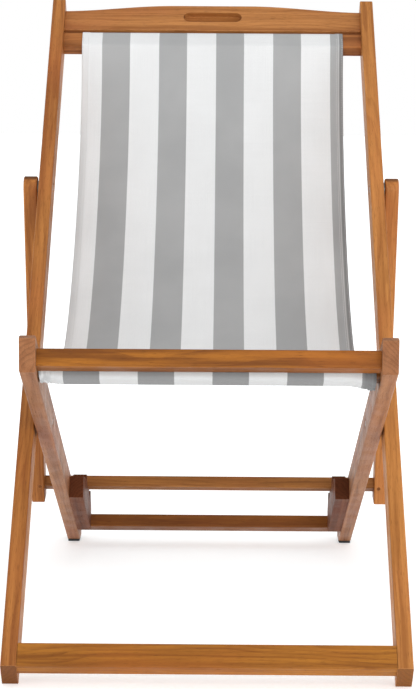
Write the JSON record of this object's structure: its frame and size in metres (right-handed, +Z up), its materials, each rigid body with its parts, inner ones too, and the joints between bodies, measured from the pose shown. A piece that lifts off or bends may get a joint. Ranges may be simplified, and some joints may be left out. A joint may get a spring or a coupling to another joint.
{
  "type": "folding deck chair",
  "caption": "Folding wooden deck chair: back frame, crossed seat frame and prop frame on pivots, with a striped fabric sling hung between them.",
  "frame": {"origin": "middle of the footprint on the floor", "axes": "+Z up, the chair faces -Y, +X is on the right seen from the front"},
  "size_m": [0.578, 0.902, 0.9105],
  "materials": {
    "wood": "oiled reddish brown hardwood, satin",
    "cloth": "woven canvas, grey and white stripes",
    "steel": "zinc plated",
    "pad": "matt black"
  },
  "bodies": {
    "seat_frame": {"seat_rail_left": "wood", "seat_rail_right": "wood", "seat_front_rail": "wood", "seat_sling_bar": "wood", "seat_rear_rail": "wood", "rack_left": "wood", "rack_right": "wood", "seat_screws": "steel", "rack_screws": "steel", "rear_foot_pads": "pad"},
    "back_frame": {"back_rail_left": "wood", "back_rail_right": "wood", "head_rail": "wood", "back_sling_bar": "wood", "back_foot_rail": "wood", "back_screws": "steel", "seat_pivot_bolts": "steel", "seat_pivot_washers": "steel", "seat_pivot_nuts": "steel", "prop_pivot_bolts": "steel", "prop_pivot_washers": "steel", "prop_pivot_nuts": "steel", "sling": "cloth"},
    "prop_frame": {"prop_strut_left": "wood", "prop_strut_right": "wood", "prop_bar": "wood", "prop_bar_pins": "wood"}
  },
  "joints": [
    {"name": "fold", "type": "hinge", "parent": "seat_frame", "child": "back_frame", "pos_m": [0, -0.15521, 0.29816], "axis": [1, 0, 0], "range_deg": [0, 104.5], "deforming": ["sling"]},
    {"name": "prop_swing", "type": "hinge", "parent": "back_frame", "child": "prop_frame", "pos_m": [0, 0.1551, 0.61174], "axis": [-1, 0, 0], "range_deg": [0, 52.25]}
  ],
  "couplings": [
    {"joint": "prop_swing", "follows": "fold", "ratio": 0.5}
  ]
}
